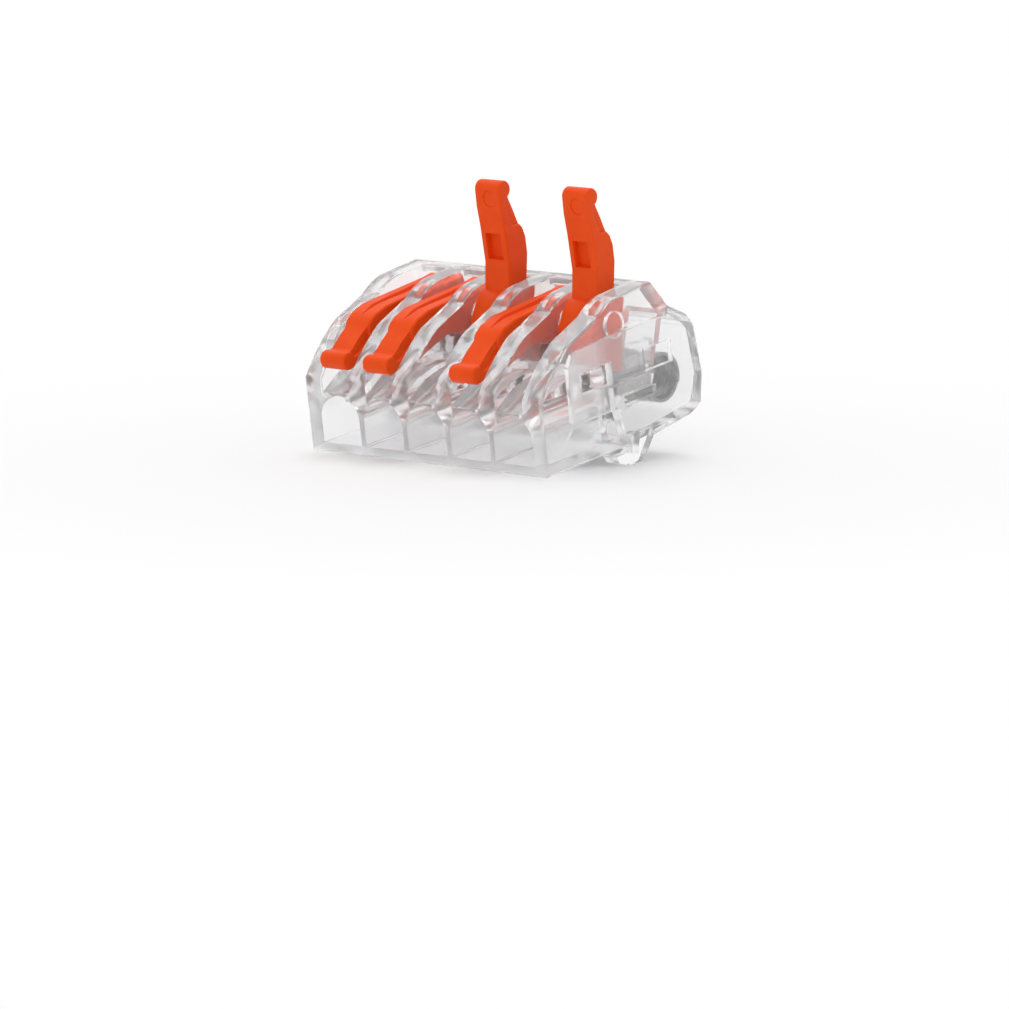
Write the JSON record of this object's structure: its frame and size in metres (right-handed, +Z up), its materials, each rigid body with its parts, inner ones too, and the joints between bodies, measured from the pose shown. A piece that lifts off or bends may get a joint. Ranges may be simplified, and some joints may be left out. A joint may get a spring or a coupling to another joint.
{
  "type": "lever wire connector",
  "caption": "Clear lever splicing connector with a row of wire entries, orange clamping levers on top, a clip-on rear cover with two feet, and spring clamps on a shared busbar inside",
  "frame": {"origin": "middle of the footprint of the standing connector, on the surface that its front bottom edge and its two feet touch", "axes": "+X along the row of poles to the right seen from the wire entries, +Y from the entries to the rear, +Z up; the connector stands nose down, tilted by its feet"},
  "size_m": [0.0296, 0.0243, 0.0261],
  "materials": {
    "clear_housing": "clear polished polycarbonate",
    "clear_cover": "clear polished polycarbonate",
    "tinned_copper": "matt tin plating on copper",
    "spring_steel": "rolled stainless spring strip",
    "orange_lever": "fine satin moulded polyamide"
  },
  "bodies": {
    "housing": {"front_housing": "clear_housing", "rear_cover": "clear_cover", "busbar": "tinned_copper", "spring_1": "spring_steel", "spring_2": "spring_steel", "spring_3": "spring_steel", "spring_4": "spring_steel", "spring_5": "spring_steel"},
    "lever_1": {"lever_1": "orange_lever"},
    "lever_2": {"lever_2": "orange_lever"},
    "lever_3": {"lever_3": "orange_lever"},
    "lever_4": {"lever_4": "orange_lever"},
    "lever_5": {"lever_5": "orange_lever"},
    "clamp_leaf_1": {"clamp_leaf_1": "spring_steel"},
    "clamp_leaf_2": {"clamp_leaf_2": "spring_steel"},
    "clamp_leaf_3": {"clamp_leaf_3": "spring_steel"},
    "clamp_leaf_4": {"clamp_leaf_4": "spring_steel"},
    "clamp_leaf_5": {"clamp_leaf_5": "spring_steel"}
  },
  "joints": [
    {"name": "lever_1_hinge", "type": "hinge", "parent": "housing", "child": "lever_1", "pos_m": [-0.0108, -0.00033, 0.01329], "axis": [-1, 0, 0], "range_deg": [0, 104.5]},
    {"name": "lever_2_hinge", "type": "hinge", "parent": "housing", "child": "lever_2", "pos_m": [-0.0054, -0.00033, 0.01329], "axis": [-1, 0, 0], "range_deg": [0, 104.5]},
    {"name": "lever_3_hinge", "type": "hinge", "parent": "housing", "child": "lever_3", "pos_m": [0, -0.00033, 0.01329], "axis": [-1, 0, 0], "range_deg": [-104.5, 0]},
    {"name": "lever_4_hinge", "type": "hinge", "parent": "housing", "child": "lever_4", "pos_m": [0.0054, -0.00033, 0.01329], "axis": [-1, 0, 0], "range_deg": [0, 104.5]},
    {"name": "lever_5_hinge", "type": "hinge", "parent": "housing", "child": "lever_5", "pos_m": [0.0108, -0.00033, 0.01329], "axis": [-1, 0, 0], "range_deg": [-104.5, 0]},
    {"name": "clamp_leaf_1_flex", "type": "hinge", "parent": "housing", "child": "clamp_leaf_1", "pos_m": [-0.0108, 0.00831, 0.00741], "axis": [1, 0, 0], "range_deg": [0, 15.5]},
    {"name": "clamp_leaf_2_flex", "type": "hinge", "parent": "housing", "child": "clamp_leaf_2", "pos_m": [-0.0054, 0.00831, 0.00741], "axis": [1, 0, 0], "range_deg": [0, 15.5]},
    {"name": "clamp_leaf_3_flex", "type": "hinge", "parent": "housing", "child": "clamp_leaf_3", "pos_m": [0, 0.00831, 0.00741], "axis": [1, 0, 0], "range_deg": [-15.5, 0]},
    {"name": "clamp_leaf_4_flex", "type": "hinge", "parent": "housing", "child": "clamp_leaf_4", "pos_m": [0.0054, 0.00831, 0.00741], "axis": [1, 0, 0], "range_deg": [0, 15.5]},
    {"name": "clamp_leaf_5_flex", "type": "hinge", "parent": "housing", "child": "clamp_leaf_5", "pos_m": [0.0108, 0.00831, 0.00741], "axis": [1, 0, 0], "range_deg": [-15.5, 0]}
  ],
  "couplings": [
    {"joint": "clamp_leaf_1_flex", "follows": "lever_1_hinge", "ratio": 0.14833},
    {"joint": "clamp_leaf_2_flex", "follows": "lever_2_hinge", "ratio": 0.14833},
    {"joint": "clamp_leaf_3_flex", "follows": "lever_3_hinge", "ratio": 0.14833},
    {"joint": "clamp_leaf_4_flex", "follows": "lever_4_hinge", "ratio": 0.14833},
    {"joint": "clamp_leaf_5_flex", "follows": "lever_5_hinge", "ratio": 0.14833}
  ]
}
